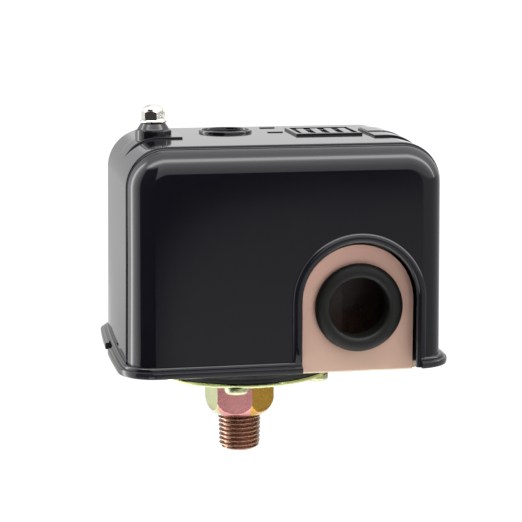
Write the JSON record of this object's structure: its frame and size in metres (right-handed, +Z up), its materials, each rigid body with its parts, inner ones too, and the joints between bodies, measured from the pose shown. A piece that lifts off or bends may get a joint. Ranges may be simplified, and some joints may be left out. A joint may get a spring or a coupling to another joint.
{
  "type": "pressure switch",
  "caption": "Pump pressure switch: moulded cover on a stamped base with cable grommets, threaded port below, lever, adjusting springs and contacts inside.",
  "frame": {"origin": "port axis at the shoulder between the hexagon and the pipe thread", "axes": "+Z up along the port axis towards the cover, +X along the long side towards the cable entries, -Y out of the front cable entry"},
  "size_m": [0.1027, 0.078, 0.1095],
  "materials": {
    "black_moulding": "glossy",
    "nickel": "polished",
    "dichromate_pink": "satin iridescent zinc",
    "black_rubber": "matte",
    "zinc_yellow": "satin",
    "diaphragm_rubber": "matte",
    "dichromate_fitting": "satin iridescent zinc",
    "zinc_yellow_screw": "satin",
    "cast_zinc": "cast",
    "zinc_lever": "satin",
    "steel_pin": "satin",
    "zinc_stud": "satin",
    "spring_steel": "satin",
    "seat_steel": "satin",
    "zinc_nut": "satin",
    "brown_phenolic": "semi-gloss",
    "black_phenolic": "semi-gloss",
    "copper_strip": "satin",
    "silver_tip": "satin",
    "brass": "satin",
    "terminal_steel": "satin",
    "zinc_screw": "satin",
    "green_screw": "satin"
  },
  "bodies": {
    "base": {"base_bracket": "dichromate_pink", "front_grommet": "black_rubber", "rear_grommet": "black_rubber", "pressure_flange": "zinc_yellow", "diaphragm": "diaphragm_rubber", "port_fitting": "dichromate_fitting", "flange_screws": "zinc_yellow_screw", "lever_pin": "steel_pin", "range_stud": "zinc_stud", "diff_stud": "zinc_stud", "contact_block": "brown_phenolic", "carrier_pin": "steel_pin", "line_strips": "brass", "load_strips": "brass", "fixed_tips": "silver_tip", "terminal_screws": "terminal_steel", "terminal_clamps": "brass", "block_screws": "zinc_screw", "ground_screws": "green_screw", "pin_clips": "steel_pin", "range_spring": "spring_steel", "diff_spring": "spring_steel"},
    "cover": {"cover": "black_moulding"},
    "cap_nut": {"cover_nut": "nickel"},
    "lever": {"lever": "zinc_lever", "range_lower_seat": "seat_steel", "diff_lower_seat": "seat_steel", "snap_spring": "spring_steel"},
    "plunger": {"plunger": "cast_zinc"},
    "contact_arm": {"carrier": "black_phenolic", "bridge_strips": "copper_strip", "bridge_tips": "silver_tip", "bridge_springs": "spring_steel", "bridge_rivets": "brass"},
    "range_seat": {"range_upper_seat": "seat_steel"},
    "range_nut": {"range_nut": "zinc_nut"},
    "diff_seat": {"diff_upper_seat": "seat_steel"},
    "diff_nut": {"diff_nut": "zinc_nut"}
  },
  "joints": [
    {"name": "cover_lift", "type": "slide", "parent": "base", "child": "cover", "axis": [0, 0, 1], "range_m": [0, 0.085]},
    {"name": "cap_nut_turn", "type": "hinge", "parent": "cover", "child": "cap_nut", "pos_m": [-0.0266, 0, 0.095], "axis": [0, 0, 1], "continuous": true},
    {"name": "lever_tilt", "type": "hinge", "parent": "base", "child": "lever", "pos_m": [0.012, 0, 0.028], "axis": [0, 1, 0], "range_deg": [0, 4], "deforming": ["range_spring", "diff_spring", "snap_spring"]},
    {"name": "plunger_travel", "type": "slide", "parent": "base", "child": "plunger", "axis": [0, 0, 1], "range_m": [0, 0.00083]},
    {"name": "contact_flip", "type": "hinge", "parent": "base", "child": "contact_arm", "pos_m": [0.02, 0, 0.0425], "axis": [0, 1, 0], "range_deg": [-8, 0]},
    {"name": "range_nut_turn", "type": "hinge", "parent": "range_seat", "child": "range_nut", "pos_m": [-0.0266, 0, 0.07], "axis": [0, 0, 1], "range_deg": [-1440, 0]},
    {"name": "range_seat_travel", "type": "slide", "parent": "base", "child": "range_seat", "axis": [0, 0, 1], "range_m": [-0.004, 0]},
    {"name": "diff_nut_turn", "type": "hinge", "parent": "diff_seat", "child": "diff_nut", "pos_m": [-0.018, 0.015, 0.055], "axis": [0, 0, 1], "range_deg": [-1080, 0]},
    {"name": "diff_seat_travel", "type": "slide", "parent": "base", "child": "diff_seat", "axis": [0, 0, 1], "range_m": [-0.003, 0]}
  ],
  "couplings": [
    {"joint": "plunger_travel", "follows": "lever_tilt", "m_per_rad": 0.0118},
    {"joint": "contact_flip", "follows": "lever_tilt", "ratio": -2},
    {"joint": "range_nut_turn", "follows": "range_seat_travel", "rad_per_m": 6283.2},
    {"joint": "diff_nut_turn", "follows": "diff_seat_travel", "rad_per_m": 6283.2}
  ]
}
